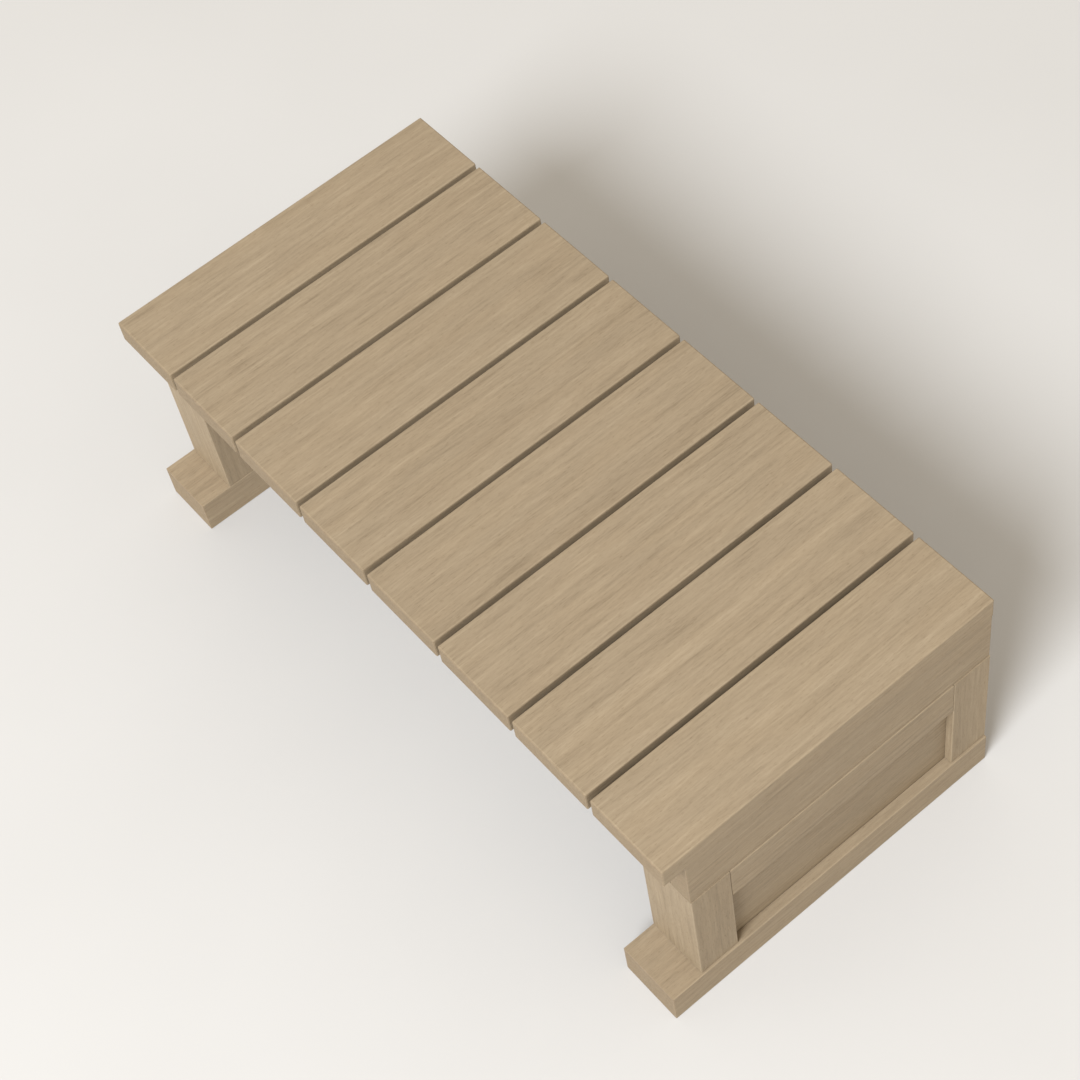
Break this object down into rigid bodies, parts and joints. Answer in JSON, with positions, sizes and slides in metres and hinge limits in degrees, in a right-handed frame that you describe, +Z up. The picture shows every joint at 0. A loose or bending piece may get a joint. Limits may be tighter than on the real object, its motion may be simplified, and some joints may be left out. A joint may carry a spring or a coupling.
{
  "type": "spa step",
  "caption": "Low slatted wooden step for getting into a spa tub: a flat tread of spaced boards on two panelled end frames with long foot rails.",
  "frame": {"origin": "on the floor, below the middle of the step's bounding box", "axes": "+X along the tread's length, +Y to the rear, against the tub, and +Z up; the toes of the foot rails face -Y"},
  "size_m": [0.7, 0.337, 0.24],
  "materials": {
    "tread_wood": "fine straight brushed grain along each board, matt light oak stain",
    "frame_wood": "fine straight brushed grain, matt light oak stain",
    "panel_wood": "fine straight grain, matt, a shade darker",
    "peg_wood": "plain beech, unfinished",
    "stainless_steel": "satin"
  },
  "bodies": {
    "root": {"slat_1": "tread_wood", "slat_2": "tread_wood", "slat_3": "tread_wood", "slat_4": "tread_wood", "slat_5": "tread_wood", "slat_6": "tread_wood", "slat_7": "tread_wood", "slat_8": "tread_wood", "left_foot_rail": "frame_wood", "left_front_post": "frame_wood", "left_rear_post": "frame_wood", "left_upper_rail": "frame_wood", "left_top_board": "frame_wood", "left_end_panel": "panel_wood", "right_foot_rail": "frame_wood", "right_front_post": "frame_wood", "right_rear_post": "frame_wood", "right_upper_rail": "frame_wood", "right_top_board": "frame_wood", "right_end_panel": "panel_wood", "front_bearer": "frame_wood", "rear_bearer": "frame_wood", "slat_1_front_screw": "stainless_steel", "slat_1_rear_screw": "stainless_steel", "slat_2_front_screw": "stainless_steel", "slat_2_rear_screw": "stainless_steel", "slat_3_front_screw": "stainless_steel", "slat_3_rear_screw": "stainless_steel", "slat_4_front_screw": "stainless_steel", "slat_4_rear_screw": "stainless_steel", "slat_5_front_screw": "stainless_steel", "slat_5_rear_screw": "stainless_steel", "slat_6_front_screw": "stainless_steel", "slat_6_rear_screw": "stainless_steel", "slat_7_front_screw": "stainless_steel", "slat_7_rear_screw": "stainless_steel", "slat_8_front_screw": "stainless_steel", "slat_8_rear_screw": "stainless_steel", "left_front_bearer_screw": "stainless_steel", "left_front_board_screw": "stainless_steel", "left_front_foot_screw": "stainless_steel", "left_front_rail_dowel": "peg_wood", "left_rear_bearer_screw": "stainless_steel", "left_rear_board_screw": "stainless_steel", "left_rear_foot_screw": "stainless_steel", "left_rear_rail_dowel": "peg_wood", "right_front_bearer_screw": "stainless_steel", "right_front_board_screw": "stainless_steel", "right_front_foot_screw": "stainless_steel", "right_front_rail_dowel": "peg_wood", "right_rear_bearer_screw": "stainless_steel", "right_rear_board_screw": "stainless_steel", "right_rear_foot_screw": "stainless_steel", "right_rear_rail_dowel": "peg_wood"}
  },
  "joints": []
}
